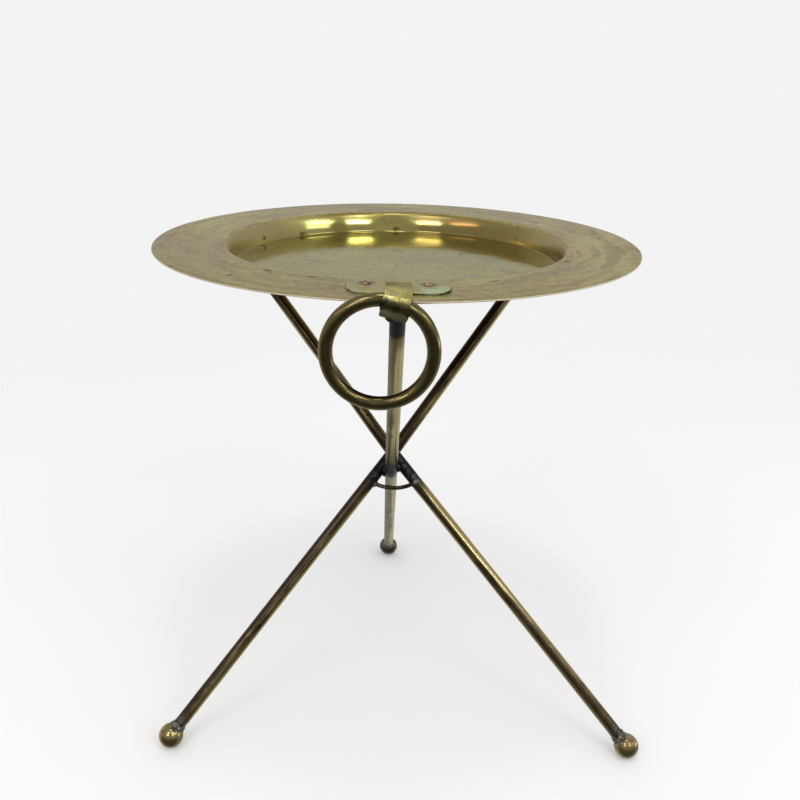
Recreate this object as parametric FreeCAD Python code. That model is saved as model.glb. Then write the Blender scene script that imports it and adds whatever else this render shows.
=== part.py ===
"""Brass tray table: a round dish on three crossed rod legs, with a ring handle at the front.

Lengths are millimetres and angles are degrees. The table is laid out about the dish's axis, with
+X to the right, +Y to the back and +Z up, and the floor at z = 0. The last step moves every piece
sideways, so that the origin is the middle of the floor space that the table takes up.
"""

import FreeCAD
import Part
import math
import os

os.makedirs("parts", exist_ok=True)

# The dish: one spun sheet with a flat rim and a round well.
RIM_TOP = 470.0
DISH_R = 215.0
SHEET = 1.5
WELL_LIP_R = 152.0
WELL_FLOOR_R = 146.0
WELL_DEPTH = 19.0
WELL_FOOT_FILLET = 4.0
WELL_LIP_FILLET = 3.0
RIM_EDGE_FILLET = 0.6

# The legs: solid rod, each with a slight bend where the three cross, on a ball foot.
ROD_R = 6.0
BALL_R = 11.5
BALL_FLAT = 0.25
BALL_SOCKET = 7.0
BEND_R = 150.0
LEGS = {
    "back": {"foot": (240.2, 90.4), "waist": (0.0, -15.4, 248.7), "top": (204.0, -89.3)},
    "front_right": {"foot": (260.1, -27.5), "waist": (0.5, -1.6, 260.4), "top": (197.3, 151.8)},
    "front_left": {"foot": (239.6, -149.5), "waist": (1.6, 9.7, 255.5), "top": (201.0, 34.1)},
}

# Solder at the joints.
BALL_FILLET_WIDTH = 1.4
BALL_FILLET_LENGTH = 4.4
RIM_FILLET_WIDTH = 4.5
RIM_FILLET_LENGTH = 8.0
CROSSING_BEAD_R = 6.4
WIRE_BEAD_R = 3.2
STRAP_BEAD_R = 4.5

# The wire brace between the two front legs, just below the crossing.
WIRE_R = 2.0
WIRE_LEFT = (-16.0, -7.5, 228.0)
WIRE_MIDDLE = (6.0, -14.5, 227.5)
WIRE_RIGHT = (24.5, -20.8, 238.0)

# The handle plate, riveted on top of the rim.
PLATE_THICK = 1.6
PLATE_X = (-35.0, 40.0)
PLATE_Y = (-196.0, -157.0)
PLATE_CORNER_R = 15.0
RIVETS = ((-20.7, -171.0), (24.2, -173.0))
RIVET_SHANK_R = 1.6
RIVET_HEAD = (3.3, 2.0)
RIVET_TAIL = (2.7, 1.2)

# The ring handle and the strap that holds it. The strap's eye leans, with its right side lower.
EYE = (0.5, -222.0, 471.0)
EYE_LEAN = 16.0
EYE_INNER_R = 6.3
RING_R = 37.3
BAR_R = 5.0
STRAP_WIDTH = 19.0
STRAP_THICK = 1.8
STRAP_TAIL_DROP = 30.0
STRAP_TAIL_LENGTH = 22.5
STRAP_X = 2.6
STRAP_BACK = -174.0
# Along the strap's upper leg: y, height of its underside over the rim, lean.
STRAP_RISE = ((-184.0, 1.6, 0.0), (-193.0, 2.8, 2.5), (-202.0, 4.3, 6.0), (-212.0, 6.0, 11.0))


def vec(point):
    return FreeCAD.Vector(*point)


def ball(centre, radius):
    return Part.makeSphere(radius, vec(centre))


def around(radius, azimuth, z):
    a = math.radians(azimuth)
    return FreeCAD.Vector(radius * math.cos(a), radius * math.sin(a), z)


def revolved(points, centre=(0, 0)):
    """A closed outline of (radius, z) points, turned about the vertical through centre."""
    outline = [FreeCAD.Vector(r, 0, z) for r, z in points]
    face = Part.Face(Part.makePolygon(outline + outline[:1]))
    solid = face.revolve(FreeCAD.Vector(0, 0, 0), FreeCAD.Vector(0, 0, 1), 360)
    solid.translate(FreeCAD.Vector(centre[0], centre[1], 0))
    return solid


def circles_at(shape, radius, z):
    """The circular edges of that radius at that height."""
    found = []
    for edge in shape.Edges:
        if isinstance(edge.Curve, Part.Circle):
            right_size = abs(edge.Curve.Radius - radius) < 0.01
            if right_size and abs(edge.Curve.Center.z - z) < 0.01:
                found.append(edge)
    return found


def dish():
    floor = RIM_TOP - WELL_DEPTH
    lean = math.atan((WELL_LIP_R - WELL_FLOOR_R) / WELL_DEPTH)
    out = SHEET / math.cos(lean)
    under_lip = WELL_FLOOR_R + (WELL_DEPTH - SHEET) * math.tan(lean) + out
    under_foot = WELL_FLOOR_R - SHEET * math.tan(lean) + out
    shape = revolved([
        (0, floor),
        (WELL_FLOOR_R, floor),
        (WELL_LIP_R, RIM_TOP),
        (DISH_R, RIM_TOP),
        (DISH_R, RIM_TOP - SHEET),
        (under_lip, RIM_TOP - SHEET),
        (under_foot, floor - SHEET),
        (0, floor - SHEET),
    ])
    for radius, z, fillet in (
        (WELL_FLOOR_R, floor, WELL_FOOT_FILLET),
        (under_foot, floor - SHEET, WELL_FOOT_FILLET + SHEET),
        (WELL_LIP_R, RIM_TOP, WELL_LIP_FILLET),
        (under_lip, RIM_TOP - SHEET, WELL_LIP_FILLET - SHEET),
        (DISH_R, RIM_TOP, RIM_EDGE_FILLET),
        (DISH_R, RIM_TOP - SHEET, RIM_EDGE_FILLET),
    ):
        shape = shape.makeFillet(fillet, circles_at(shape, radius, z))
    for x, y in RIVETS:
        hole = Part.makeCylinder(RIVET_SHANK_R, 4 * SHEET, FreeCAD.Vector(x, y, RIM_TOP - 2 * SHEET))
        shape = shape.cut(hole)
    return shape


def leg_points(leg):
    """A leg's foot, bend and top, on its middle line. The foot is the middle of its ball."""
    foot = around(*leg["foot"], BALL_R - BALL_FLAT)
    top = around(*leg["top"], RIM_TOP - SHEET)
    return foot, vec(leg["waist"]), top


def rod(leg):
    """Two straight runs joined by a wide arc, cut off flat under the rim."""
    foot, waist, top = leg_points(leg)
    down = (foot - waist).normalize()
    up = (top - waist).normalize()
    turn = math.pi - down.getAngle(up)
    reach = BEND_R * math.tan(turn / 2)
    sag = BEND_R * (1 / math.cos(turn / 2) - 1)
    start = foot - down * (BALL_R - BALL_SOCKET)
    past = top + up * 3 * ROD_R
    a = waist + down * reach
    b = waist + up * reach
    middle = waist + (down + up).normalize() * sag
    path = Part.Wire([
        Part.LineSegment(start, a).toShape(),
        Part.Arc(a, middle, b).toShape(),
        Part.LineSegment(b, past).toShape(),
    ])
    section = Part.Wire(Part.Circle(start, down, ROD_R).toShape())
    solid = path.makePipeShell([section], True, False)
    above = Part.makeCylinder(2 * DISH_R, DISH_R, FreeCAD.Vector(0, 0, RIM_TOP - SHEET))
    return solid.cut(above).Solids[0]


def ball_foot(leg, leg_rod):
    centre = leg_points(leg)[0]
    below = Part.makeBox(4 * BALL_R, 4 * BALL_R, BALL_R, centre - FreeCAD.Vector(
        2 * BALL_R, 2 * BALL_R, 2 * BALL_R - BALL_FLAT))
    return ball(centre, BALL_R).cut(below).cut(leg_rod)


def ball_solder(leg, leg_rod, foot_ball):
    """A fillet round the rod where it enters its ball."""
    foot, waist, _ = leg_points(leg)
    up = (waist - foot).normalize()
    base = foot + up * (BALL_R - BALL_FILLET_LENGTH / 2)
    cone = Part.makeCone(ROD_R + BALL_FILLET_WIDTH, ROD_R + 0.4, BALL_FILLET_LENGTH, base, up)
    return cone.cut(leg_rod).cut(foot_ball)


def rim_solder(leg, leg_rod):
    """A fillet round the rod's end, against the underside of the rim."""
    _, waist, top = leg_points(leg)
    up = (top - waist).normalize()
    cone = Part.makeCone(
        ROD_R + 0.4, ROD_R + RIM_FILLET_WIDTH, 2 * RIM_FILLET_LENGTH, top - up * RIM_FILLET_LENGTH, up)
    under_rim = Part.makeCylinder(DISH_R - 1, RIM_TOP - SHEET)
    return cone.common(under_rim).cut(leg_rod)


def crossing_solder(rods):
    """Beads in the three places where two rods pass each other."""
    beads = None
    for first, second in (("back", "front_right"), ("back", "front_left"), ("front_right", "front_left")):
        ends = rods[first].distToShape(rods[second])[1][0]
        bead = ball((ends[0] + ends[1]) * 0.5, CROSSING_BEAD_R)
        beads = bead if beads is None else beads.fuse(bead)
    for one in rods.values():
        beads = beads.cut(one)
    return beads


def tie_wire(rods):
    ends = vec(WIRE_LEFT), vec(WIRE_MIDDLE), vec(WIRE_RIGHT)
    arc = Part.Arc(*ends).toShape()
    start = arc.FirstParameter
    section = Part.Wire(Part.Circle(arc.valueAt(start), arc.tangentAt(start), WIRE_R).toShape())
    wire = Part.Wire(arc).makePipeShell([section], True, False)
    for one in rods.values():
        wire = wire.cut(one)
    return max(wire.Solids, key=lambda s: s.Volume)


def tie_wire_solder(wire, rods):
    beads = ball(WIRE_LEFT, WIRE_BEAD_R).fuse(ball(WIRE_RIGHT, WIRE_BEAD_R)).cut(wire)
    for one in rods.values():
        beads = beads.cut(one)
    return beads


def handle_plate():
    """A flat plate with well-rounded corners, on the rim between the well and the edge."""
    x0, x1 = PLATE_X
    y0, y1 = PLATE_Y
    plate = Part.makeBox(x1 - x0, y1 - y0, PLATE_THICK, FreeCAD.Vector(x0, y0, RIM_TOP))
    upright = [e for e in plate.Edges if abs(e.BoundBox.ZLength - PLATE_THICK) < 0.01]
    plate = plate.makeFillet(PLATE_CORNER_R, upright)
    for x, y in RIVETS:
        hole = Part.makeCylinder(RIVET_SHANK_R, 2 * PLATE_THICK, FreeCAD.Vector(x, y, RIM_TOP))
        plate = plate.cut(hole)
    return plate


def cap(radius, height, centre, upwards):
    """A low dome of that radius and height on the level plane through centre."""
    sphere_r = (radius * radius + height * height) / (2 * height)
    sign = 1 if upwards else -1
    sphere = ball(centre + FreeCAD.Vector(0, 0, sign * (height - sphere_r)), sphere_r)
    low = centre - FreeCAD.Vector(radius, radius, 0 if upwards else height)
    return sphere.common(Part.makeBox(2 * radius, 2 * radius, height, low))


def rivets():
    """Two rivets, each with a domed head on the plate and a peened tail under the rim."""
    made = []
    top = RIM_TOP + PLATE_THICK
    bottom = RIM_TOP - SHEET
    for x, y in RIVETS:
        shank = Part.makeCylinder(RIVET_SHANK_R, top - bottom, FreeCAD.Vector(x, y, bottom))
        head = cap(*RIVET_HEAD, FreeCAD.Vector(x, y, top), True)
        tail = cap(*RIVET_TAIL, FreeCAD.Vector(x, y, bottom), False)
        made.append(shank.fuse([head, tail]).removeSplitter())
    return Part.makeCompound([s.Solids[0] for s in made])


def eye_axes():
    """The eye's direction along the bar, and its own upward direction."""
    a = math.radians(EYE_LEAN)
    return FreeCAD.Vector(math.cos(a), 0, -math.sin(a)), FreeCAD.Vector(math.sin(a), 0, math.cos(a))


def curl_point(radius, angle, run=0.0):
    """A point in the middle of the strap's width, on its curl round the eye or on its straight tail.

    angle is counted from the back over the top, and run is the distance along the tail."""
    a = math.radians(angle)
    _, up = eye_axes()
    back = FreeCAD.Vector(0, 1, 0)
    on_curl = back * (radius * math.cos(a)) + up * (radius * math.sin(a))
    on_tail = back * (-run * math.sin(a)) + up * (run * math.cos(a))
    return vec(EYE) + on_curl + on_tail


def strap_section(centre_under, lean):
    """The strap's cross-section, standing across Y. centre_under is the middle of its underside."""
    a = math.radians(lean)
    side = FreeCAD.Vector(math.cos(a), 0, -math.sin(a)) * (STRAP_WIDTH / 2)
    up = FreeCAD.Vector(math.sin(a), 0, math.cos(a)) * STRAP_THICK
    corners = [centre_under - side, centre_under + side, centre_under + side + up, centre_under - side + up]
    return Part.makePolygon(corners + corners[:1])


def strap(front_leg):
    """A strip that lies on the plate, rises over the ring's bar, goes round its front and under it,
    and ends against the leg behind it."""
    along, up = eye_axes()
    eye = vec(EYE)
    sections = [strap_section(FreeCAD.Vector(STRAP_X, STRAP_BACK, RIM_TOP + PLATE_THICK), 0)]
    for y, over_rim, lean in STRAP_RISE:
        sections.append(strap_section(FreeCAD.Vector(STRAP_X, y, RIM_TOP + over_rim), lean))
    sections.append(strap_section(eye + up * EYE_INNER_R, EYE_LEAN))
    upper_leg = Part.makeLoft(sections, True, True)

    def at(radius, angle, run=0.0):
        return curl_point(radius, angle, run) - along * (STRAP_WIDTH / 2)

    inner = EYE_INNER_R
    outer = EYE_INNER_R + STRAP_THICK
    leaves = 270 - STRAP_TAIL_DROP
    profile = Part.Wire([
        Part.Arc(at(inner, 90), at(inner, 165), at(inner, leaves)).toShape(),
        Part.LineSegment(at(inner, leaves), at(inner, leaves, STRAP_TAIL_LENGTH)).toShape(),
        Part.LineSegment(
            at(inner, leaves, STRAP_TAIL_LENGTH), at(outer, leaves, STRAP_TAIL_LENGTH)).toShape(),
        Part.LineSegment(at(outer, leaves, STRAP_TAIL_LENGTH), at(outer, leaves)).toShape(),
        Part.Arc(at(outer, leaves), at(outer, 165), at(outer, 90)).toShape(),
        Part.LineSegment(at(outer, 90), at(inner, 90)).toShape(),
    ])
    curl = Part.Face(profile).extrude(along * STRAP_WIDTH)
    whole = upper_leg.fuse(curl).removeSplitter().cut(front_leg)
    return max(whole.Solids, key=lambda s: s.Volume)


def strap_solder(strap_solid, front_leg, leg_solder):
    """A bead between the strap's lower end and the leg."""
    tail_end = curl_point(EYE_INNER_R, 270 - STRAP_TAIL_DROP, STRAP_TAIL_LENGTH)
    from_tail, on_leg = Part.Vertex(tail_end).distToShape(front_leg)[1][0]
    bead = ball((from_tail + on_leg) * 0.5, STRAP_BEAD_R).cut(strap_solid).cut(front_leg).cut(leg_solder)
    return max(bead.Solids, key=lambda s: s.Volume)


def ring_handle():
    """A round-bar ring that hangs in the eye, with the eye's axis half way into the bar's curve."""
    _, up = eye_axes()
    half_width = STRAP_WIDTH / 2
    curve = RING_R - math.sqrt(RING_R ** 2 - half_width ** 2)
    centre = vec(EYE) - up * (RING_R - curve / 2)
    return Part.makeTorus(RING_R, BAR_R, centre, FreeCAD.Vector(0, 1, 0))


def build():
    parts = {"tray_dish": dish()}
    rods = {name: rod(leg) for name, leg in LEGS.items()}
    for name, leg in LEGS.items():
        foot_ball = ball_foot(leg, rods[name])
        parts["leg_" + name] = rods[name]
        parts["ball_foot_" + name] = foot_ball
        parts["ball_solder_" + name] = ball_solder(leg, rods[name], foot_ball)
        parts["rim_solder_" + name] = rim_solder(leg, rods[name])
    parts["crossing_solder"] = crossing_solder(rods)
    parts["tie_wire"] = tie_wire(rods)
    parts["tie_wire_solder"] = tie_wire_solder(parts["tie_wire"], rods)
    parts["handle_plate"] = handle_plate()
    parts["handle_rivets"] = rivets()
    back_solder = parts["rim_solder_back"]
    parts["handle_strap"] = strap(rods["back"].fuse(back_solder))
    parts["strap_solder"] = strap_solder(parts["handle_strap"], rods["back"], back_solder)
    parts["ring_handle"] = ring_handle()
    return parts


def floor_middle():
    """How far the pieces move, so that the origin is the middle of the table's own box."""
    feet = {name: leg_points(leg)[0] for name, leg in LEGS.items()}
    right = feet["front_right"].x + BALL_R
    left = feet["front_left"].x - BALL_R
    back = feet["back"].y + BALL_R
    front = EYE[1] - EYE_INNER_R - STRAP_THICK
    return FreeCAD.Vector(-(left + right) / 2, -(front + back) / 2, 0)


shift = floor_middle()
for name, shape in build().items():
    shape.translate(shift)
    shape.exportStep("parts/" + name + ".step")
    box = shape.BoundBox
    print(name, "solids", len(shape.Solids), "volume", round(shape.Volume, 1), "valid", shape.isValid(),
          "x", round(box.XMin, 2), round(box.XMax, 2), "y", round(box.YMin, 2), round(box.YMax, 2),
          "z", round(box.ZMin, 2), round(box.ZMax, 2))
print("shift", shift)
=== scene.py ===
"""The brass tray table's looks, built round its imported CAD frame.

Lengths are metres in the row frame: +X to the right, +Y to the back, +Z up, floor at z = 0.
"""

import math

import bmesh
import bpy
from mathutils import Matrix, Vector, noise

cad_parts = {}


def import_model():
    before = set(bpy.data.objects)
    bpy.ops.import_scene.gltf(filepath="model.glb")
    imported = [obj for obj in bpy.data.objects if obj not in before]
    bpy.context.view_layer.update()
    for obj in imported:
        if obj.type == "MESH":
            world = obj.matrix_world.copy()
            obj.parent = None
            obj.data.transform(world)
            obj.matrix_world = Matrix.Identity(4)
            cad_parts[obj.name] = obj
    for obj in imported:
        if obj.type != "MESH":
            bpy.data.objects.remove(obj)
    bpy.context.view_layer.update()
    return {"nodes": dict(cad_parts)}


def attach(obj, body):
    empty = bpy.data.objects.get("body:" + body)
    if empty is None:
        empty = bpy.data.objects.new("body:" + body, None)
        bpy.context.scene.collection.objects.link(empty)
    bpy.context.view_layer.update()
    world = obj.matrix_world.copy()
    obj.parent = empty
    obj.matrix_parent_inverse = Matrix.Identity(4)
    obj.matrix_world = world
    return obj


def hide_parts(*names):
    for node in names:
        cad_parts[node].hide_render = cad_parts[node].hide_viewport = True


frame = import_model()

# The dish.
AXIS_X, AXIS_Y = -0.0121326, -0.0107971
RIM_TOP = 0.470
DISH_R = 0.215
SHEET = 0.0015
WELL_LIP_R = 0.152
WELL_FLOOR_R = 0.146
WELL_DEPTH = 0.019
WALL_SAG = 0.0009
WELL_FOOT_BEND = 0.0016
WELL_LIP_BEND = 0.0045
EDGE_BEND = 0.0006
UNDER_LIP_BEND = 0.0030
UNDER_FOOT_BEND = 0.0031
OUT_OF_ROUND = 0.0015

# The waves in the dish's sheet: how many lie in a metre, where in the noise they start, and how high.
WAVES = ((9, 0, 0.00045), (28, 3, 0.00012))

# The legs.
ROD_R = 0.006
BALL_R = 0.0115
BALL_FLAT = 0.00025
BEND_R = 0.150
INTO_BALL = 0.0045
PAST_RIM = 0.012
ROD_WEAR = 0.00006
ROD_TOP_GAP = 0.00005

# The dents along a rod: how many lie in a metre, and how deep.
DENTS = ((45, 0.00010), (140, 0.00004))

# Each leg's middle line: the foot ball's radius and azimuth about the dish's axis, the bend's place
# from that axis and the floor, and the top's radius and azimuth.
LEGS = {
    "back": ((0.2402, 90.4), (0.0, -0.0154, 0.2487), (0.2040, -89.3)),
    "front_right": ((0.2601, -27.5), (0.0005, -0.0016, 0.2604), (0.1973, 151.8)),
    "front_left": ((0.2396, -149.5), (0.0016, 0.0097, 0.2555), (0.2010, 34.1)),
}

# How far up the rods from their foot ends their looks change, and how far the burnt skin runs on.
SOLDERED_FOOT = (0.014, 0.024)
DULL_FOOT = (0.02, 0.13)
UNRUBBED_FOOT = (0.06, 0.24)
RUB_FADES_OVER = 0.06
SCORCH_UP = 0.065
SCORCH_DOWN = 0.02

# The plate, its rivets, the strap and the ring handle.
PLATE_AHEAD = 0.1765
PLATE_MIDDLE = (AXIS_X + 0.0025, AXIS_Y - PLATE_AHEAD)
PLATE_HALF = (0.0375, 0.0195)
PLATE_CORNER = 0.015
RIVETS = ((AXIS_X - 0.0207, AXIS_Y - 0.171), (AXIS_X + 0.0242, AXIS_Y - 0.173))
STRAP_THICK = 0.0018
EYE = Vector((AXIS_X + 0.0005, AXIS_Y - 0.222, 0.471))
EYE_TILT = math.radians(16)
EYE_AXIS = Vector((math.cos(EYE_TILT), 0, -math.sin(EYE_TILT)))
EYE_INNER_R = 0.0063
EYE_ROOM = 0.0009
RING_R = 0.0373
RING_BAR_R = 0.0050
RING_HANG = 0.036685
RING_CENTRE = EYE - Vector((math.sin(EYE_TILT), 0, math.cos(EYE_TILT))) * RING_HANG

# The floor, the camera and the point that the lamps face.
FLOOR_FADES = 0.75
FLOOR_GONE = 1.5
FLOOR_R = 1.6
CAMERA_PLACE = Vector((AXIS_X, AXIS_Y - 0.79326, 0.62333))
LAMPS_MEET = Vector((0, 0, 0.42))

# Dark marks on the dish: azimuth, radius, half length round the axis, half width.
MARKS = (
    (131.0, 0.1464, 0.0048, 0.0005),
    (90.0, 0.1464, 0.0046, 0.0004),
    (152.0, 0.1470, 0.0036, 0.0005),
    (156.0, 0.1420, 0.0040, 0.0022),
    (-74.0, 0.1550, 0.0075, 0.0016),
    (-64.0, 0.1680, 0.0060, 0.0018),
    (-48.0, 0.1410, 0.0045, 0.0020),
    (-127.0, 0.1630, 0.0050, 0.0020),
    (-113.0, 0.1610, 0.0060, 0.0018),
    (-133.0, 0.1360, 0.0050, 0.0020),
)


# ---------------------------------------------------------------- shader graphs


class Graph:
    """A node material around one Principled shader."""

    def __init__(self, name):
        self.material = bpy.data.materials.new(name)
        self.material.use_nodes = True
        self.tree = self.material.node_tree
        self.tree.nodes.clear()
        self.shader = self.node("ShaderNodeBsdfPrincipled")
        out = self.node("ShaderNodeOutputMaterial")
        self.tree.links.new(self.shader.outputs[0], out.inputs[0])

    def node(self, kind, **settings):
        made = self.tree.nodes.new(kind)
        for key, value in settings.items():
            setattr(made, key, value)
        return made

    def put(self, socket, value):
        if isinstance(value, bpy.types.NodeSocket):
            self.tree.links.new(value, socket)
        else:
            socket.default_value = value

    def math(self, operation, a, b=0.0, clamp=False):
        made = self.node("ShaderNodeMath", operation=operation, use_clamp=clamp)
        self.put(made.inputs[0], a)
        self.put(made.inputs[1], b)
        return made.outputs[0]

    def plus(self, a, b, clamp=False):
        return self.math("ADD", a, b, clamp)

    def minus(self, a, b):
        return self.math("SUBTRACT", a, b)

    def times(self, a, b):
        return self.math("MULTIPLY", a, b)

    def larger(self, a, b):
        return self.math("MAXIMUM", a, b)

    def swing(self, value, width):
        """A value between 0 and 1 made into an offset to either side of zero."""
        return self.times(self.minus(value, 0.5), width)

    def vector(self, operation, a, b=(0.0, 0.0, 0.0)):
        made = self.node("ShaderNodeVectorMath", operation=operation)
        self.put(made.inputs[0], a)
        self.put(made.inputs[1], b)
        return made.outputs["Value" if operation == "LENGTH" else "Vector"]

    def place(self):
        """The point's place on its piece, in metres."""
        return self.node("ShaderNodeTexCoord").outputs["Object"]

    def facing(self):
        """The surface's own direction."""
        return self.node("ShaderNodeTexCoord").outputs["Normal"]

    def attribute(self, name):
        return self.node("ShaderNodeAttribute", attribute_name=name).outputs["Vector"]

    def apart(self, vector):
        made = self.node("ShaderNodeSeparateXYZ")
        self.put(made.inputs[0], vector)
        return made.outputs

    def together(self, x, y, z):
        made = self.node("ShaderNodeCombineXYZ")
        for socket, value in zip(made.inputs, (x, y, z)):
            self.put(socket, value)
        return made.outputs[0]

    def noise(self, vector, scale, detail=4.0, roughness=0.55, distortion=0.0):
        made = self.node("ShaderNodeTexNoise")
        self.put(made.inputs["Vector"], vector)
        made.inputs["Scale"].default_value = scale
        made.inputs["Detail"].default_value = detail
        made.inputs["Roughness"].default_value = roughness
        made.inputs["Distortion"].default_value = distortion
        return made.outputs["Fac"]

    def cells(self, vector, scale):
        made = self.node("ShaderNodeTexVoronoi")
        self.put(made.inputs["Vector"], vector)
        made.inputs["Scale"].default_value = scale
        return made.outputs["Distance"]

    def step(self, value, low, high, start=0.0, end=1.0):
        """A smooth change from start to end as value goes from low to high."""
        made = self.node("ShaderNodeMapRange", interpolation_type="SMOOTHSTEP")
        self.put(made.inputs["Value"], value)
        made.inputs["From Min"].default_value = low
        made.inputs["From Max"].default_value = high
        made.inputs["To Min"].default_value = start
        made.inputs["To Max"].default_value = end
        return made.outputs["Result"]

    def blend(self, amount, a, b):
        made = self.node("ShaderNodeMix", data_type="RGBA")
        self.put(made.inputs["Factor"], amount)
        self.put(made.inputs[6], a)
        self.put(made.inputs[7], b)
        return made.outputs[2]

    def bump(self, height, distance, strength, normal=None):
        made = self.node("ShaderNodeBump")
        made.inputs["Strength"].default_value = strength
        made.inputs["Distance"].default_value = distance
        self.put(made.inputs["Height"], height)
        if normal is not None:
            self.put(made.inputs["Normal"], normal)
        return made.outputs[0]

    def finish(self, colour, roughness, metallic, normal):
        self.put(self.shader.inputs["Base Color"], colour)
        self.put(self.shader.inputs["Roughness"], roughness)
        self.put(self.shader.inputs["Metallic"], metallic)
        self.put(self.shader.inputs["Normal"], normal)
        return self.material


def rgb(r, g, b):
    return (r, g, b, 1.0)


def grey(value):
    return rgb(value, value, value)


def near_plate(g, place):
    """How far a point is outside the plate's outline, seen from above, and negative inside it."""
    x, y, _ = g.apart(g.vector("SUBTRACT", place, (*PLATE_MIDDLE, 0.0)))
    over_x = g.larger(g.minus(g.math("ABSOLUTE", x), PLATE_HALF[0] - PLATE_CORNER), 0.0)
    over_y = g.larger(g.minus(g.math("ABSOLUTE", y), PLATE_HALF[1] - PLATE_CORNER), 0.0)
    return g.minus(g.vector("LENGTH", g.together(over_x, over_y, 0.0)), PLATE_CORNER)


def near_rivets(g, place):
    """The distance to the nearer rivet, seen from above."""
    found = None
    flat = g.vector("MULTIPLY", place, (1.0, 1.0, 0.0))
    for x, y in RIVETS:
        away = g.vector("LENGTH", g.vector("SUBTRACT", flat, (x, y, 0.0)))
        found = away if found is None else g.math("MINIMUM", found, away)
    return found


def dish_brass():
    """Spun brass: turned marks round the axis, brown streaks and blotches, dark pits, a clean well."""
    g = Graph("dish_brass")
    x, y, z = g.apart(g.vector("SUBTRACT", g.place(), (AXIS_X, AXIS_Y, RIM_TOP)))
    flat = g.together(x, y, 0.0)
    radius = g.vector("LENGTH", flat)
    far = g.larger(radius, 0.004)  # the axis itself has no direction
    cos = g.math("DIVIDE", x, far)
    sin = g.math("DIVIDE", y, far)

    def turned(stretch):
        """Coordinates that run long round the axis and short across it."""
        return g.together(g.times(cos, stretch), g.times(sin, stretch), radius)

    streak = g.noise(turned(0.025), 95.0, 5.0, 0.62, 0.3)
    fine = g.noise(turned(0.012), 900.0, 3.0, 0.6)
    blotch = g.noise(turned(0.10), 34.0, 6.0, 0.62, 0.5)
    cloud = g.noise(flat, 8.0, 4.0, 0.55, 0.3)
    grain = g.noise(flat, 150.0, 5.0, 0.65)

    in_well = g.step(radius, WELL_FLOOR_R + 0.0015, WELL_LIP_R - 0.0005, 1.0, 0.0)
    colour = g.blend(g.step(cloud, 0.38, 0.62), rgb(0.45, 0.355, 0.085), rgb(0.60, 0.515, 0.17))
    colour = g.blend(g.step(streak, 0.46, 0.60, 0.0, 0.75), colour, rgb(0.33, 0.255, 0.070))
    colour = g.blend(g.step(blotch, 0.53, 0.66, 0.0, 0.75), colour, rgb(0.38, 0.215, 0.080))
    colour = g.blend(g.step(grain, 0.50, 0.66, 0.0, 0.42), colour, rgb(0.20, 0.135, 0.035))
    colour = g.blend(g.step(grain, 0.50, 0.36, 0.0, 0.28), colour, rgb(0.72, 0.64, 0.28))
    well_colour = g.blend(g.step(cloud, 0.38, 0.62), rgb(0.40, 0.36, 0.065), rgb(0.48, 0.445, 0.125))
    well_colour = g.blend(g.step(blotch, 0.52, 0.68, 0.0, 0.6), well_colour, rgb(0.27, 0.205, 0.050))
    well_colour = g.blend(g.step(grain, 0.51, 0.66, 0.0, 0.45), well_colour, rgb(0.18, 0.14, 0.045))
    colour = g.blend(in_well, colour, well_colour)

    # The wall of the well is rubbed clean and yellow, darker in places, with painted shade on its right
    # side.
    outside_floor = g.step(radius, WELL_FLOOR_R - 0.0030, WELL_FLOOR_R - 0.0010)
    inside_rim = g.step(radius, WELL_LIP_R - 0.0005, WELL_LIP_R + 0.0015, 1.0, 0.0)
    wall = g.times(outside_floor, inside_rim)
    wall_colour = g.blend(g.step(streak, 0.45, 0.62), rgb(0.64, 0.585, 0.21), rgb(0.46, 0.385, 0.12))
    # Painted shade: the wall is painted darker brown on its right side, towards the back.
    shade = g.step(g.plus(cos, g.times(sin, 0.35)), 0.15, 0.75)
    wall_colour = g.blend(g.times(shade, 0.8), wall_colour, rgb(0.38, 0.275, 0.10))
    dull = g.larger(g.step(cos, -0.60, -0.86), g.step(cos, 0.80, 0.96, 0.0, 0.7))
    wall_colour = g.blend(dull, wall_colour, rgb(0.50, 0.42, 0.20))
    colour = g.blend(wall, colour, wall_colour)
    # Painted shade darkens the corner at the wall's foot.
    corner = g.together(g.minus(radius, WELL_FLOOR_R), g.plus(z, WELL_DEPTH), 0.0)
    corner_shade = g.step(g.vector("LENGTH", corner), 0.0005, 0.0020, 0.35, 0.0)
    colour = g.blend(corner_shade, colour, rgb(0.15, 0.11, 0.035))

    # The underside never was polished.
    under = g.step(g.apart(g.facing())[2], -0.2, 0.2, 1.0, 0.0)
    under_colour = g.blend(g.step(blotch, 0.4, 0.6), rgb(0.30, 0.225, 0.11), rgb(0.16, 0.115, 0.065))
    under_colour = g.blend(g.step(streak, 0.5, 0.7, 0.0, 0.6), under_colour, rgb(0.40, 0.31, 0.14))
    colour = g.blend(under, colour, under_colour)

    # Dark pits and specks, and a few larger marks.
    aside = g.together(g.times(grain, 0.006), g.times(cloud, 0.01), 0.0)
    wobble = g.vector("ADD", flat, aside)
    spot = g.step(g.cells(wobble, 30.0), 0.03, 0.11, 1.0, 0.0)
    often = g.noise(flat, 19.0, 2.0, 0.5)
    pit = g.times(spot, g.step(often, 0.50, 0.56))
    speck = g.step(g.cells(wobble, 110.0), 0.04, 0.16, 1.0, 0.0)
    small = g.times(speck, g.step(often, 0.53, 0.60))
    marks = g.larger(pit, g.times(small, 0.7))
    around = g.math("ARCTAN2", y, x)
    uneven = g.swing(grain, 1.6)
    for azimuth, mark_r, length, width in MARKS:
        along = g.times(g.minus(around, math.radians(azimuth)), mark_r / length)
        across = g.math("DIVIDE", g.minus(radius, mark_r), width)
        off = g.plus(g.vector("LENGTH", g.together(along, across, 0.0)), uneven)
        marks = g.larger(marks, g.step(off, 0.5, 1.2, 0.9, 0.0))
    colour = g.blend(g.times(marks, 0.85), colour, rgb(0.075, 0.05, 0.028))
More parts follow.
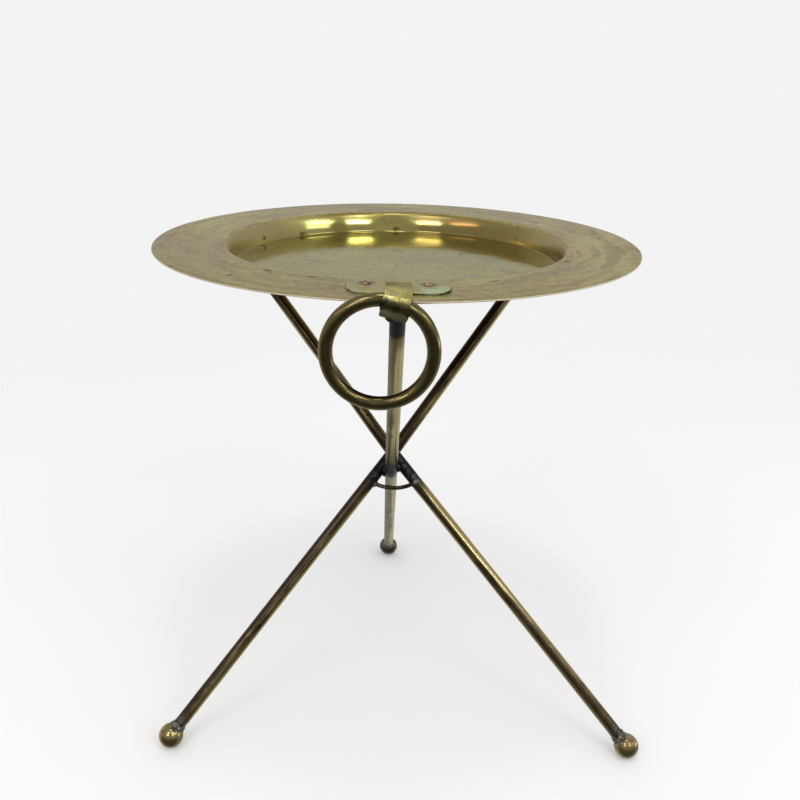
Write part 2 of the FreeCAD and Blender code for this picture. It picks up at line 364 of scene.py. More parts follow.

    # The sheet's cut edge is dull, and painted pale as a painted highlight along the edge.
    edge_up = g.math("ABSOLUTE", g.apart(g.facing())[2])
    at_edge = g.step(radius, DISH_R - 0.0025, DISH_R - 0.0015)
    cut_edge_highlight = g.times(g.step(edge_up, 0.85, 0.5), at_edge)
    colour = g.blend(cut_edge_highlight, colour, rgb(0.62, 0.55, 0.40))

    # Verdigris creeps out from under the plate's front edge, and a painted shadow lines the rim just
    # outside the plate's edge.
    edge = near_plate(g, g.place())
    ragged = g.plus(edge, g.swing(grain, 0.012))
    in_front = g.step(y, -PLATE_AHEAD - 0.0035, -PLATE_AHEAD - 0.0155)
    green = g.times(g.step(ragged, -0.001, 0.0025, 1.0, 0.0), in_front)
    colour = g.blend(g.times(green, 0.6), colour, rgb(0.16, 0.22, 0.12))
    # Painted shadow of the plate's edge: a dark line on the rim round the plate.
    line = g.step(edge, 0.0004, 0.0017, 0.9, 0.0)
    colour = g.blend(line, colour, rgb(0.035, 0.04, 0.03))

    rough = g.step(cloud, 0.3, 0.7, 0.24, 0.31)
    rough = g.plus(rough, g.times(in_well, -0.17))
    rough = g.plus(rough, g.step(blotch, 0.5, 0.8, 0.0, 0.05))
    rough = g.plus(rough, g.times(g.larger(under, green), 0.22))
    rough = g.plus(rough, g.times(g.times(dull, wall), 0.18))
    rough = g.plus(rough, g.times(cut_edge_highlight, 0.12))
    rough = g.plus(rough, g.times(marks, 0.2), clamp=True)
    normal = g.bump(fine, 0.00003, 0.4)
    normal = g.bump(grain, 0.00008, 0.3, normal)
    bare = g.minus(1.0, g.times(g.larger(green, g.times(cut_edge_highlight, 0.8)), 0.7))
    return g.finish(colour, rough, bare, normal)


def rod_brass(name, dark, mid, rubbed, side, cut, rough, burn, rub_end, both=False, dark_reflection_from=None):
    """Rod brass: a skin rubbed through in long streaks, most of all on one side, which is partly a
    painted floor reflection, and burnt by solder.

    side is where the rubbing and the painted floor reflection are, as cosine and sine round the rod
    from its front, and cut is how far round towards it they start. rough holds the rubbed metal's
    roughness and the skin's.
    Along the rod, burn is where the soldering blackened it, rub_end is where the rubbing gives out and
    soot is where its upper end under the dish turns black, a painted dark reflection of the dish's
    underside. With both, the opposite side is rubbed as well, and side itself only higher up.
    """
    g = Graph(name)
    place = g.attribute("straight")
    x, y, z = g.apart(place)
    stretched = g.together(x, y, g.times(z, 0.035))
    streak = g.noise(stretched, 190.0, 4.0, 0.5, 0.1)
    lines = g.noise(g.together(x, y, g.times(z, 0.02)), 620.0, 3.0, 0.6)
    blotch = g.noise(place, 38.0, 5.0, 0.62, 0.4)
    mottle = g.noise(place, 190.0, 4.0, 0.6, 0.3)
    grain = g.noise(place, 800.0, 3.0, 0.6)
    # The rubbed colour leans towards side: partly wear, partly a painted reflection of the floor on
    # that side of the rod.
    lean = g.plus(g.times(x, side[0] / ROD_R), g.times(y, side[1] / ROD_R))

    colour = g.blend(g.step(blotch, 0.30, 0.70), dark, mid)
    if both:
        low_down = g.step(z, *UNRUBBED_FOOT, 1.0, 0.0)
        lean = g.larger(g.times(lean, -1.0), g.minus(lean, low_down))
    wear_and_reflection = g.plus(g.times(g.minus(lean, cut), 0.34), streak)
    wear_and_reflection = g.plus(wear_and_reflection, g.swing(blotch, 0.3))
    wear_and_reflection = g.plus(wear_and_reflection, g.step(z, rub_end - RUB_FADES_OVER, rub_end, 0.0, -0.16))
    wear_and_reflection = g.plus(wear_and_reflection, g.step(z, *DULL_FOOT, -0.09, 0.0))
    rub = g.step(wear_and_reflection, 0.50, 0.66)
    colour = g.blend(rub, colour, rubbed)
    colour = g.blend(g.step(lines, 0.52, 0.70, 0.0, 0.5), colour, dark)
    specks = g.step(g.noise(place, 330.0, 2.0, 0.5), 0.67, 0.73, 0.0, 0.8)
    colour = g.blend(specks, colour, rgb(0.045, 0.03, 0.02))
    rough_value = g.step(rub, 0.0, 1.0, rough[1], rough[0])

    low, high = burn
    scorched = g.times(g.step(z, high, high + SCORCH_UP, 0.95, 0.0), g.step(z, low - SCORCH_DOWN, low))
    scorched = g.times(scorched, g.step(streak, 0.37, 0.52))
    colour = g.blend(scorched, colour, g.blend(0.35, dark, rgb(0.05, 0.035, 0.015)))
    ragged = g.plus(z, g.swing(mottle, 0.022))
    below_top = g.step(ragged, high - 0.008, high + 0.008, 1.0, 0.0)
    burnt = g.times(g.step(ragged, low - 0.006, low + 0.006), below_top)
    crust = g.blend(g.step(mottle, 0.50, 0.66), rgb(0.022, 0.024, 0.022), rgb(0.095, 0.095, 0.090))
    colour = g.blend(g.times(burnt, 0.92), colour, crust)
    # Solder smeared up from the ball.
    smear = g.times(g.step(ragged, *SOLDERED_FOOT, 1.0, 0.0), g.step(mottle, 0.44, 0.56))
    colour = g.blend(smear, colour, rgb(0.16, 0.15, 0.145))
    rough_value = g.plus(rough_value, g.times(g.larger(burnt, smear), 0.16))
    # Painted dark reflection of the dish's underside: the rod's upper end under the rim is painted
    # black, brownish just below.
    if dark_reflection_from is not None:
        dark_reflection = g.step(g.plus(z, g.swing(blotch, 0.010)), dark_reflection_from, dark_reflection_from + 0.010)
        colour = g.blend(g.step(z, dark_reflection_from - 0.016, dark_reflection_from, 0.0, 0.8), colour, rgb(0.16, 0.115, 0.035))
        colour = g.blend(dark_reflection, colour, rgb(0.016, 0.013, 0.009))
        rough_value = g.plus(rough_value, g.times(dark_reflection, 0.15))
    normal = g.bump(grain, 0.00004, 0.35)
    normal = g.bump(mottle, 0.00010, 0.4, normal)
    # Fine polishing marks run round the rod.
    round_rod = g.together(g.times(x, 0.03), g.times(y, 0.03), z)
    polish = g.noise(round_rod, 1100.0, 2.0, 0.5)
    normal = g.bump(polish, 0.00008, 0.8, normal)
    return g.finish(colour, rough_value, 1.0, normal)


def mottled(name, light, dark, stain, scale, rough, stain_from, dents=0.0001, soldered=()):
    """Plain worn metal with cloudy colour, stains, small dents and solder smeared round some points."""
    g = Graph(name)
    place = g.place()
    cloud = g.noise(place, scale, 5.0, 0.6, 0.5)
    fine = g.noise(place, scale * 6.0, 4.0, 0.6)
    stains = g.noise(place, scale * 1.7, 4.0, 0.6, 0.8)
    colour = g.blend(g.step(cloud, 0.35, 0.65), light, dark)
    colour = g.blend(g.step(stains, stain_from, stain_from + 0.12, 0.0, 0.85), colour, stain)
    rough_value = g.step(cloud, 0.3, 0.7, rough[0], rough[1])
    for point in soldered:
        away = g.vector("LENGTH", g.vector("SUBTRACT", place, tuple(point)))
        away = g.plus(away, g.swing(fine, 0.014))
        smear = g.step(away, 0.0072, 0.0090, 0.85, 0.0)
        grey_metal = g.blend(g.step(fine, 0.4, 0.6), rgb(0.30, 0.295, 0.28), rgb(0.10, 0.095, 0.085))
        colour = g.blend(smear, colour, grey_metal)
        rough_value = g.plus(rough_value, g.times(smear, 0.15))
    return g.finish(colour, rough_value, 1.0, g.bump(fine, dents, 0.5))


def plate_brass():
    """The plate: dull brass, with verdigris along its edges and dark rings round the rivets, partly
    dirt and partly painted shadow of their heads.
    """
    g = Graph("plate_brass")
    place = g.place()
    grain = g.noise(place, 170.0, 5.0, 0.62)
    cloud = g.noise(place, 60.0, 4.0, 0.55, 0.4)
    scratch = g.noise(g.vector("MULTIPLY", place, (0.08, 1.0, 1.0)), 900.0, 3.0, 0.6)
    colour = g.blend(g.step(cloud, 0.35, 0.65), rgb(0.42, 0.38, 0.09), rgb(0.50, 0.46, 0.16))
    colour = g.blend(g.step(scratch, 0.52, 0.7, 0.0, 0.5), colour, rgb(0.26, 0.205, 0.10))
    uneven = g.swing(grain, 0.010)
    ragged = g.plus(near_plate(g, place), uneven)
    x, y, _ = g.apart(place)
    front = g.step(y, PLATE_MIDDLE[1] + 0.004, PLATE_MIDDLE[1] - 0.012)
    green = g.times(g.step(ragged, -0.0035, 0.0005), front)
    by_strap = g.times(g.step(g.plus(x, uneven), 0.0085, 0.0035, 1.0, 0.0), front)
    by_strap = g.times(by_strap, g.step(x, 0.0, 0.004, 0.0, 1.0))
    patchy = g.step(g.noise(place, 130.0, 3.0, 0.55, 0.5), 0.42, 0.56, 0.30, 1.0)
    green = g.times(g.larger(green, g.times(by_strap, 0.9)), patchy)
    colour = g.blend(g.times(green, 0.9), colour, rgb(0.33, 0.42, 0.32))
    # Dark rings round the rivets: partly dirt, partly painted shadow of the rivet heads.
    rivet_dirt_and_shadow = g.step(g.plus(near_rivets(g, place), uneven), 0.0042, 0.0078, 0.85, 0.0)
    colour = g.blend(rivet_dirt_and_shadow, colour, rgb(0.10, 0.055, 0.035))
    rough = g.plus(g.step(cloud, 0.3, 0.7, 0.24, 0.34), g.times(green, 0.3), clamp=True)
    normal = g.bump(scratch, 0.00003, 0.4)
    normal = g.bump(grain, 0.00015, 0.5, normal)
    return g.finish(colour, rough, g.minus(1.0, g.times(green, 0.7)), normal)


def strap_brass():
    """The strap: rubbed bright over the top, with painted shade making it brown and greenish below and
    near black at the bottom.
    """
    g = Graph("strap_brass")
    place = g.place()
    grain = g.noise(place, 210.0, 5.0, 0.62)
    cloud = g.noise(place, 85.0, 4.0, 0.55, 0.4)
    colour = g.blend(g.step(cloud, 0.36, 0.64), rgb(0.74, 0.69, 0.30), rgb(0.52, 0.465, 0.15))
    height = g.plus(g.apart(place)[2], g.swing(cloud, 0.012))
    g.shader.inputs["Specular Tint"].default_value = rgb(1.0, 0.95, 0.68)
    # Painted shade: the strap is painted brown below the rim's height.
    low = g.step(height, RIM_TOP + 0.0085, RIM_TOP)
    brown = g.blend(g.step(grain, 0.4, 0.6), rgb(0.105, 0.090, 0.040), rgb(0.050, 0.046, 0.024))
    colour = g.blend(low, colour, brown)
    spots = g.step(g.noise(place, 420.0, 3.0, 0.6), 0.58, 0.68, 0.0, 0.7)
    colour = g.blend(spots, colour, rgb(0.10, 0.075, 0.035))
    # Painted shade, near black at the bottom of the loop.
    bottom_shade = g.step(height, RIM_TOP - 0.0035, RIM_TOP - 0.0100)
    colour = g.blend(bottom_shade, colour, rgb(0.040, 0.036, 0.020))
    rough = g.plus(g.step(cloud, 0.3, 0.7, 0.24, 0.34), g.times(low, 0.12), clamp=True)
    normal = g.bump(grain, 0.00025, 0.5)
    return g.finish(colour, rough, 1.0, normal)


def ring_brass():
    """The ring: brown patina, rubbed to a paler olive on its outer side."""
    g = Graph("ring_brass")
    place = g.place()
    x, _, z = g.apart(g.vector("SUBTRACT", place, RING_CENTRE))
    out = g.vector("LENGTH", g.together(x, 0.0, z))
    cloud = g.noise(place, 55.0, 5.0, 0.6, 0.5)
    grain = g.noise(place, 420.0, 4.0, 0.6)
    colour = g.blend(g.step(cloud, 0.36, 0.64), rgb(0.205, 0.172, 0.066), rgb(0.130, 0.100, 0.045))
    outer = g.plus(out, g.swing(cloud, 0.010))
    rub = g.step(outer, RING_R + 0.0010, RING_R + 0.0048, 0.0, 0.6)
    colour = g.blend(rub, colour, rgb(0.26, 0.225, 0.09))
    rust = g.step(g.noise(place, 95.0, 4.0, 0.6, 0.6), 0.56, 0.68, 0.0, 0.5)
    colour = g.blend(rust, colour, rgb(0.20, 0.115, 0.070))
    rough = g.step(cloud, 0.3, 0.7, 0.16, 0.26)
    normal = g.bump(grain, 0.00001, 0.25)
    return g.finish(colour, rough, 1.0, normal)


# ---------------------------------------------------------------- pieces


def between(low, value, high):
    return min(high, max(low, value))


def new_object(name, mesh, material, body="table"):
    made = bpy.data.objects.new(name, mesh)
    bpy.context.scene.collection.objects.link(made)
    mesh.materials.clear()
    mesh.materials.append(material)
    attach(made, body)
    return made


def shade_smooth(mesh):
    mesh.polygons.foreach_set("use_smooth", [True] * len(mesh.polygons))
    mesh.update()


def about_axis(radius, azimuth, z):
    a = math.radians(azimuth)
    return Vector((AXIS_X + radius * math.cos(a), AXIS_Y + radius * math.sin(a), z))


def leg_line(name):
    """Points up the middle of a leg, from inside its ball to past the rim, and the way along it."""
    step = 0.003
    foot, waist, top = LEGS[name]
    foot = about_axis(*foot, BALL_R - BALL_FLAT)
    waist = Vector((AXIS_X + waist[0], AXIS_Y + waist[1], waist[2]))
    top = about_axis(*top, RIM_TOP - SHEET)
    rise = (waist - foot).normalized()
    onward = (top - waist).normalized()
    turn = rise.angle(onward)
    reach = BEND_R * math.tan(turn / 2)
    start = foot + rise * INTO_BALL
    corner_in = waist - rise * reach
    corner_out = waist + onward * reach
    points = []
    run = (corner_in - start).length
    count = round(run / step)
    for i in range(count):
        points.append((start.lerp(corner_in, i / count), rise))
    axis = rise.cross(onward).normalized()
    inward = axis.cross(rise)
    centre = corner_in + inward * BEND_R
    count = max(3, round(BEND_R * turn / step))
    for i in range(count):
        spin = Matrix.Rotation(turn * i / count, 3, axis)
        points.append((centre - spin @ (inward * BEND_R), spin @ rise))
    past = top + onward * PAST_RIM
    count = round((past - corner_out).length / step)
    for i in range(count + 1):
        points.append((corner_out.lerp(past, i / count), onward))
    return points


def leg(name, material):
    """A rod with slight flats and dents, cut level under the rim.

    Its attribute straight is each point's place on the rod with the bend taken out, its foot at z = 0.
    """
    line = leg_line(name)
    sides = 40
    mesh = bpy.data.meshes.new("rod_" + name)
    bm = bmesh.new()
    straight = bm.verts.layers.float_vector.new("straight")
    across = Vector((0, -1, 0))
    rings = []
    run = 0.0
    last = line[0][0]
    for point, way in line:
        run += (point - last).length
        last = point
        across = (across - way * across.dot(way)).normalized()
        other = way.cross(across)
        ring = []
        for k in range(sides):
            a = 2 * math.pi * k / sides
            out = across * math.cos(a) + other * math.sin(a)
            place = Vector((ROD_R * math.cos(a), ROD_R * math.sin(a), run))
            dent = sum(noise.noise(place * many) * deep for many, deep in DENTS)
            v = bm.verts.new(point + out * (ROD_R - ROD_WEAR + dent))
            v[straight] = place
            ring.append(v)
        rings.append(ring)
    for low, high in zip(rings, rings[1:]):
        for k in range(sides):
            n = (k + 1) % sides
            bm.faces.new((low[k], low[n], high[n], high[k]))
    bm.faces.new(list(reversed(rings[0])))
    bm.faces.new(rings[-1])
    geometry = bm.verts[:] + bm.edges[:] + bm.faces[:]
    cut = bmesh.ops.bisect_plane(
        bm,
        geom=geometry,
        plane_co=(0, 0, RIM_TOP - SHEET - ROD_TOP_GAP),
        plane_no=(0, 0, 1),
        clear_outer=True,
    )
    edges = [e for e in cut["geom_cut"] if isinstance(e, bmesh.types.BMEdge)]
    bmesh.ops.edgeloop_fill(bm, edges=edges)
    bmesh.ops.recalc_face_normals(bm, faces=bm.faces[:])
    bm.to_mesh(mesh)
    bm.free()
    shade_smooth(mesh)
    made = new_object("rod_" + name, mesh, material)
    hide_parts("leg_" + name)


def worn(node, name, material, voxel, lumps, scale, smooth=2, bend=None):
    """A table piece in a node's own shape, with softened edges and a hand-made unevenness.

    lumps is how high the unevenness is, scale how many of its lumps fit in a metre, and bend gives each
    point a shift of its own.
    """
    made = new_object(name, frame["nodes"][node].data.copy(), material)
    remesh = made.modifiers.new("remesh", "REMESH")
    remesh.mode = "VOXEL"
    remesh.voxel_size = voxel
    relax = made.modifiers.new("relax", "SMOOTH")
    relax.factor = 0.5
    relax.iterations = smooth
    bpy.context.view_layer.update()
    ready = made.evaluated_get(bpy.context.evaluated_depsgraph_get())
    solid = bpy.data.meshes.new_from_object(ready)
    made.modifiers.clear()
    made.data = solid
    solid.materials.clear()
    solid.materials.append(material)
    normals = [v.normal.copy() for v in solid.vertices]
    places = [v.co.copy() for v in solid.vertices]
    finer, finer_share = 2.7, 0.35
    for v, place, normal in zip(solid.vertices, places, normals):
        rise = noise.noise(place * scale) + noise.noise(place * scale * finer) * finer_share
        v.co = place + normal * rise * lumps
        if bend is not None:
            v.co += bend(place)
    shade_smooth(solid)
    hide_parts(node)


def profile_dish():
    """The dish's outline as (radius, z) points, from the middle of the top, out and back underneath."""

    def fillet(corner, a, b, radius, count):
        da = (a - corner).normalized()
        db = (b - corner).normalized()
        half = da.angle(db) / 2
        reach = radius / math.tan(half)
        centre = corner + (da + db).normalized() * (radius / math.sin(half))
        start = corner + da * reach - centre
        end = corner + db * reach - centre
        turn = start.angle(end)
        way = 1 if start.x * end.y - start.y * end.x > 0 else -1
        points = []
        for i in range(count + 1):
            points.append(centre + Matrix.Rotation(way * turn * i / count, 2) @ start)
        return points

    floor = RIM_TOP - WELL_DEPTH
    lean = math.atan((WELL_LIP_R - WELL_FLOOR_R) / WELL_DEPTH)
    out = SHEET / math.cos(lean)
    under_lip = WELL_FLOOR_R + (WELL_DEPTH - SHEET) * math.tan(lean) + out
    under_foot = WELL_FLOOR_R - SHEET * math.tan(lean) + out
    corners = [
        (Vector((0.0, floor)), 0),
        (Vector((WELL_FLOOR_R, floor)), WELL_FOOT_BEND),
        (Vector((WELL_LIP_R, RIM_TOP)), WELL_LIP_BEND),
        (Vector((DISH_R, RIM_TOP)), EDGE_BEND),
        (Vector((DISH_R, RIM_TOP - SHEET)), EDGE_BEND),
        (Vector((under_lip, RIM_TOP - SHEET)), UNDER_LIP_BEND),
        (Vector((under_foot, floor - SHEET)), UNDER_FOOT_BEND),
        (Vector((0.0, floor - SHEET)), 0),
    ]
    wide_bend, long_gap, coarse, fine, last_count = 0.002, 0.02, 0.004, 0.0015, 36
    points = [corners[0][0]]
    for (before, _), (corner, radius), (after, _) in zip(corners, corners[1:], corners[2:]):
        bend = fillet(corner, before, after, radius, 14 if radius > wide_bend else 5)
        gap = (bend[0] - points[-1]).length
        count = max(1, round(gap / (coarse if gap > long_gap else fine)))
        start = points[-1]
        points += [start.lerp(bend[0], i / count) for i in range(1, count)]
        points += bend
    start = points[-1]
    points += [start.lerp(corners[-1][0], i / last_count) for i in range(1, last_count + 1)]
    beyond_wall = WELL_LIP_R + 0.008
    for p in points:
        up = between(0.0, (p.y - floor) / WELL_DEPTH, 1.0)
        if p.x < beyond_wall:
            p.x -= WALL_SAG * 4 * up * (1 - up)
    return points


def dish(material):
    """The dish, turned from its outline, with the slight waves of a spun and handled sheet.

    The waves fade towards the middle, and towards the rim's front, where the handle sits.
    """
    outline = profile_dish()
    around = 360
    still_r, wavy_over = 0.02, 0.05
    handle_from, handle_over, handle_waves = 0.10, 0.04, 0.25
    bm = bmesh.new()
    top = bm.verts.new((AXIS_X, AXIS_Y, outline[0].y))
    bottom = bm.verts.new((AXIS_X, AXIS_Y, outline[-1].y))
    rings = []
    for p in outline[1:-1]:
        ring = []
        for k in range(around):
            a = 2 * math.pi * k / around
            x, y = p.x * math.cos(a), p.x * math.sin(a)
            wave = sum(noise.noise(Vector((x, y, start)) * many) * high for many, start, high in WAVES)
            wave *= between(0.0, (p.x - still_r) / wavy_over, 1.0)
            wave *= between(handle_waves, 1.0 + (y + handle_from) / handle_over, 1.0)
            out = 1 + noise.noise(Vector((math.cos(a) * 2, math.sin(a) * 2, 7))) * OUT_OF_ROUND
            ring.append(bm.verts.new((AXIS_X + x * out, AXIS_Y + y * out, p.y + wave)))
        rings.append(ring)
    for low, high in zip(rings, rings[1:]):
        for k in range(around):
            n = (k + 1) % around
            bm.faces.new((low[k], high[k], high[n], low[n]))
    for k in range(around):
        n = (k + 1) % around
        bm.faces.new((top, rings[0][k], rings[0][n]))
        bm.faces.new((bottom, rings[-1][n], rings[-1][k]))
    bmesh.ops.recalc_face_normals(bm, faces=bm.faces[:])
    mesh = bpy.data.meshes.new("dish")
    bm.to_mesh(mesh)
    bm.free()
    shade_smooth(mesh)
    made = new_object("spun_dish", mesh, material)
    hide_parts("tray_dish")


def lift(place):
    """The plate's right end stands a little off the rim."""
    lift_from, lift_over, lift_height = 0.024, 0.016, 0.0012
    t = max(0.0, (place.x - AXIS_X - lift_from) / lift_over)
    return Vector((0, 0, lift_height * t * t))


def tuck(place):
    """The strap's loop is drawn a little to the right and up, low down, and opened to clear the ring.

    The ring's bar is curved, so as it swings it sweeps a wider space towards the ends of the eye.
    """
    drawn, drawn_over = Vector((0.0030, 0, 0.0010)), 0.014
    loop_half_width, thinnest = 0.020, 0.0012
    shift = drawn * between(0.0, (RIM_TOP - place.z) / drawn_over, 1.0)
    reach = place - EYE
    inner_gap = (reach - EYE_AXIS * reach.dot(EYE_AXIS)).length - EYE_INNER_R
    layer = between(0.0, inner_gap / STRAP_THICK, 1.0)
    reach += shift
    along = reach.dot(EYE_AXIS)
    if abs(along) > loop_half_width:
        return shift
    away = reach - EYE_AXIS * along
    drop = math.sqrt(RING_R**2 - along**2)
    clear = RING_BAR_R * RING_R / drop + abs(drop - RING_HANG) + EYE_ROOM + layer * thinnest
    if away.length < clear:
        shift += away.normalized() * (clear - away.length)
    return shift


def recolour(node, material):
    """A CAD node kept as it is, in a metal of its own."""
    node.data.materials.clear()
    node.data.materials.append(material)


# ---------------------------------------------------------------- the table

left_rod = rod_brass(
    "left_rod_brass",
    dark=rgb(0.058, 0.040, 0.028),
    mid=rgb(0.105, 0.075, 0.043),
    rubbed=rgb(0.62, 0.51, 0.20),
    side=(-0.1, 1.0),
    cut=-0.42,
    rough=(0.20, 0.32),
    burn=(0.302, 0.348),
    rub_end=0.33,
)
right_rod = rod_brass(
    "right_rod_brass",
    dark=rgb(0.080, 0.056, 0.034),
    mid=rgb(0.18, 0.130, 0.065),
    rubbed=rgb(0.52, 0.425, 0.19),
    side=(0.0, 1.0),
    cut=-0.10,
    rough=(0.20, 0.20),
    burn=(0.318, 0.352),
    rub_end=0.33,
    both=True,
)
back_rod = rod_brass(
    "back_rod_brass",
    dark=rgb(0.15, 0.110, 0.040),
    mid=rgb(0.27, 0.225, 0.085),
    rubbed=rgb(0.56, 0.50, 0.21),
    side=(0.2, 1.0),
    cut=0.0,
    rough=(0.24, 0.34),
    burn=(0.335, 0.369),
    rub_end=0.80,
    dark_reflection_from=0.586,
)
joins = [leg_line(side)[0] for side in ("front_right", "front_left")]
ball_metal = mottled(
    "ball_brass",
    light=rgb(0.50, 0.41, 0.18),
    dark=rgb(0.30, 0.22, 0.10),
    stain=rgb(0.10, 0.075, 0.045),
    scale=75.0,
    rough=(0.14, 0.30),
    stain_from=0.56,
    soldered=[start + rise * (BALL_R - INTO_BALL) for start, rise in joins],
)
dull_ball_metal = mottled(
    "dull_ball_brass",
    light=rgb(0.20, 0.165, 0.115),
    dark=rgb(0.10, 0.080, 0.058),
    stain=rgb(0.05, 0.04, 0.03),
    scale=110.0,
    rough=(0.24, 0.4),
    stain_from=0.52,
)
solder = mottled(
    "solder",
    light=rgb(0.36, 0.355, 0.34),
    dark=rgb(0.13, 0.126, 0.118),
    stain=rgb(0.045, 0.042, 0.038),
    scale=330.0,
    rough=(0.30, 0.5),
    stain_from=0.54,
    dents=0.0002,
)
dark_solder = mottled(
    "dark_solder",
    light=rgb(0.10, 0.10, 0.095),
    dark=rgb(0.035, 0.036, 0.034),
    stain=rgb(0.20, 0.20, 0.19),
    scale=260.0,
    rough=(0.3, 0.5),
    stain_from=0.62,
    dents=0.0002,
)
wire_metal = mottled(
    "dark_wire",
    light=rgb(0.13, 0.10, 0.055),
    dark=rgb(0.05, 0.038, 0.024),
    stain=rgb(0.24, 0.19, 0.10),
    scale=200.0,
    rough=(0.25, 0.4),
    stain_from=0.60,
)
copper = mottled(
    "copper",
    light=rgb(0.72, 0.47, 0.36),
    dark=rgb(0.30, 0.155, 0.11),
    stain=rgb(0.08, 0.045, 0.03),
    scale=520.0,
    rough=(0.16, 0.34),
    stain_from=0.52,
    dents=0.0003,
)

dish(dish_brass())
leg("back", back_rod)
leg("front_right", right_rod)
leg("front_left", left_rod)
for side in LEGS:
    worn(
        "ball_solder_" + side,
        "solder_at_ball_" + side,
        solder,
        voxel=0.0004,
        lumps=0.0012,
        scale=300.0,
        smooth=3,
    )
    worn(
        "rim_solder_" + side,
        "solder_at_rim_" + side,
        dark_solder,
        voxel=0.0005,
        lumps=0.0010,
        scale=260.0,
        smooth=4,
    )
    ball = frame["nodes"]["ball_foot_" + side]
    recolour(ball, dull_ball_metal if side == "back" else ball_metal)
worn(
    "crossing_solder",
    "solder_at_crossing",
    dark_solder,
    voxel=0.0005,
    lumps=0.0010,
    scale=240.0,
    smooth=4,
)
worn(
    "tie_wire_solder",
    "solder_at_tie_wire",
    solder,
    voxel=0.0004,
    lumps=0.0008,
    scale=350.0,
    smooth=3,
)
worn(
    "strap_solder",
    "solder_at_strap",
    dark_solder,
    voxel=0.0004,
    lumps=0.0008,
    scale=350.0,
    smooth=3,
)
worn("tie_wire", "bent_wire", wire_metal, voxel=0.0003, lumps=0.0001, scale=300.0)
worn("handle_rivets", "hammered_rivets", copper, voxel=0.0002, lumps=0.0006, scale=520.0)
worn(
    "handle_plate",
    "riveted_plate",
    plate_brass(),
    voxel=0.0004,
    lumps=0.00012,
    scale=90.0,
    bend=lift,
)
worn(
    "handle_strap",
    "bent_strap",
    strap_brass(),
    voxel=0.0003,
    lumps=0.0005,
    scale=150.0,
    smooth=14,
    bend=tuck,
)
recolour(frame["nodes"]["ring_handle"], ring_brass())


# ---------------------------------------------------------------- floor, light and camera


def floor():
    """A plain pale floor that fades out well away from the table."""
    g = Graph("floor")
    radius = g.vector("LENGTH", g.place())
    g.put(g.shader.inputs["Base Color"], grey(0.76))
    g.put(g.shader.inputs["Emission Color"], grey(0.12))
    g.put(g.shader.inputs["Emission Strength"], 1.0)
    g.put(g.shader.inputs["Roughness"], 0.8)
    g.put(g.shader.inputs["Specular IOR Level"], 0.1)
    clear = g.node("ShaderNodeBsdfTransparent")
    mix = g.node("ShaderNodeMixShader")
    g.put(mix.inputs[0], g.step(radius, FLOOR_FADES, FLOOR_GONE))
    g.put(mix.inputs[1], g.shader.outputs[0])
    g.put(mix.inputs[2], clear.outputs[0])
    out = [n for n in g.tree.nodes if n.type == "OUTPUT_MATERIAL"][0]
    g.put(out.inputs[0], mix.outputs[0])
    mesh = bpy.data.meshes.new("floor")
    bm = bmesh.new()
    bmesh.ops.create_circle(bm, cap_ends=True, radius=FLOOR_R, segments=96)
    bm.to_mesh(mesh)
    bm.free()
    mesh.materials.append(g.material)
    made = bpy.data.objects.new("floor", mesh)
    bpy.context.scene.collection.objects.link(made)
    made.visible_glossy = False


def world():
    """A white surround, and a soft grey room, darker in front and below, for the brass to mirror."""
    made = bpy.data.worlds.new("studio")
    bpy.context.scene.world = made
    made.use_nodes = True
    tree = made.node_tree
    tree.nodes.clear()

    def ramp(value, low, high, start, end):
        node = tree.nodes.new("ShaderNodeMapRange")
        node.interpolation_type = "SMOOTHSTEP"
        tree.links.new(value, node.inputs["Value"])
        ends = {"From Min": low, "From Max": high, "To Min": start, "To Max": end}
        for key, number in ends.items():
            if isinstance(number, float):
                node.inputs[key].default_value = number
            else:
                tree.links.new(number, node.inputs[key])
        return node.outputs["Result"]

    axes = tree.nodes.new("ShaderNodeSeparateXYZ")
    tree.links.new(tree.nodes.new("ShaderNodeTexCoord").outputs["Generated"], axes.inputs[0])
    above = ramp(axes.outputs[1], -0.6, 0.7, 0.44, 0.66)
    below = ramp(axes.outputs[1], -0.6, 0.4, 0.13, 0.66)
    room = tree.nodes.new("ShaderNodeBackground")
    tree.links.new(ramp(axes.outputs[2], -0.12, 0.08, below, above), room.inputs["Strength"])
    white = tree.nodes.new("ShaderNodeBackground")
    white.inputs["Color"].default_value = grey(0.895)
    path = tree.nodes.new("ShaderNodeLightPath")
    mix = tree.nodes.new("ShaderNodeMixShader")
    tree.links.new(path.outputs["Is Glossy Ray"], mix.inputs[0])
    tree.links.new(white.outputs[0], mix.inputs[1])
    tree.links.new(room.outputs[0], mix.inputs[2])
    out = tree.nodes.new("ShaderNodeOutputWorld")
    tree.links.new(mix.outputs[0], out.inputs[0])


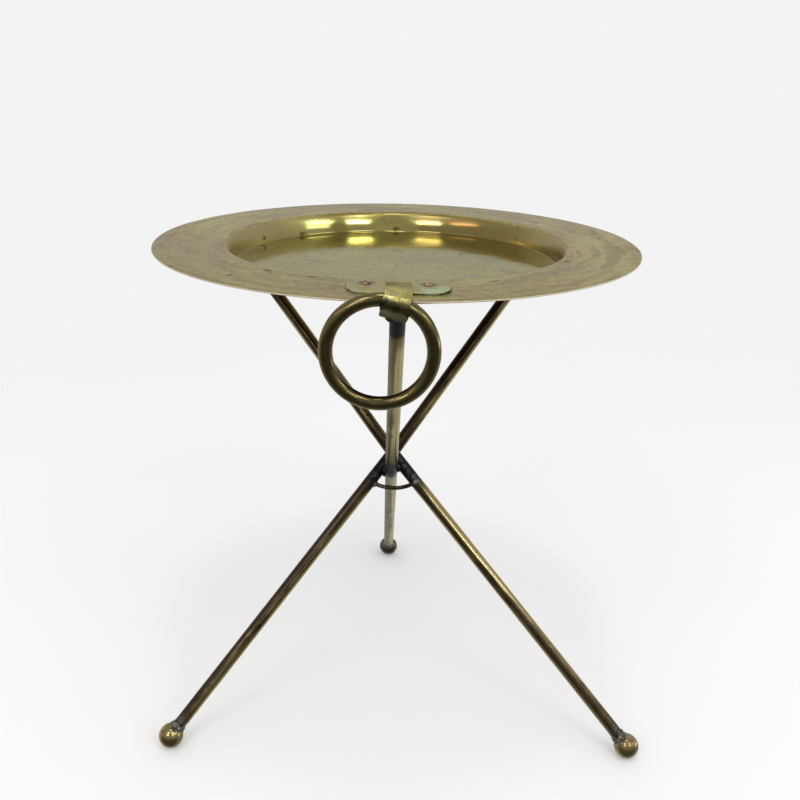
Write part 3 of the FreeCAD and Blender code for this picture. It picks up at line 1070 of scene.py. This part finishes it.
def lamp(name, azimuth, elevation, distance, width, height, radiance, colour=(1, 1, 1)):
    """A soft box. Azimuth is counted from the camera's side towards +X. radiance is its brightness."""
    a, e = math.radians(azimuth), math.radians(elevation)
    away = Vector((math.sin(a) * math.cos(e), -math.cos(a) * math.cos(e), math.sin(e)))
    data = bpy.data.lights.new(name, "AREA")
    data.shape = "RECTANGLE"
    data.size, data.size_y = width, height
    data.energy = radiance * math.pi * width * height
    data.color = colour
    made = bpy.data.objects.new(name, data)
    bpy.context.scene.collection.objects.link(made)
    made.location = LAMPS_MEET + away * distance
    made.rotation_mode = "QUATERNION"
    made.rotation_quaternion = away.to_track_quat("Z", "Y")


def camera():
    """In front of the handle and above the rim, looking down and turned a little about its own axis."""
    pitch, yaw, roll = 0.362485, -0.011510, 0.017215
    level = Vector((math.sin(yaw), math.cos(yaw), 0))
    forward = level * math.cos(pitch) - Vector((0, 0, math.sin(pitch)))
    right = Vector((math.cos(yaw), -math.sin(yaw), 0))
    right.rotate(Matrix.Rotation(-roll, 3, forward))
    up = right.cross(forward)
    data = bpy.data.cameras.new("camera")
    data.sensor_width = 36.0
    data.lens = 39.597
    data.shift_x = 0.02066
    data.shift_y = -0.00949
    made = bpy.data.objects.new("camera", data)
    bpy.context.scene.collection.objects.link(made)
    turned = Matrix((right, up, -forward)).transposed().to_4x4()
    made.matrix_world = Matrix.Translation(CAMERA_PLACE) @ turned
    bpy.context.scene.camera = made


floor()
world()
lamp("window_left", -27, 27.5, 2.4, 0.70, 0.30, 7.0)
lamp("window_right", 31, 27.5, 2.4, 0.66, 0.30, 7.0)
lamp("skylight_left", -31, 48, 2.3, 0.62, 0.45, 5.5)
lamp("skylight_right", 33, 48, 2.3, 0.60, 0.45, 5.5)
lamp("warm_left", -56, 28, 2.6, 0.90, 0.20, 3.0, (1.0, 0.66, 0.56))
lamp("far_right", 64, 28, 2.6, 0.90, 0.20, 5.0)
lamp("far_right_low", 64, 20.5, 2.6, 0.90, 0.42, 1.5)
lamp("overhead", 0, 80, 2.0, 0.30, 0.30, 11.0)
lamp("side_right", 92, -5, 2.4, 1.1, 0.34, 3.0, (1.0, 0.92, 0.88))
camera()
view = bpy.context.scene.view_settings
view.view_transform = "Standard"
view.look = "None"
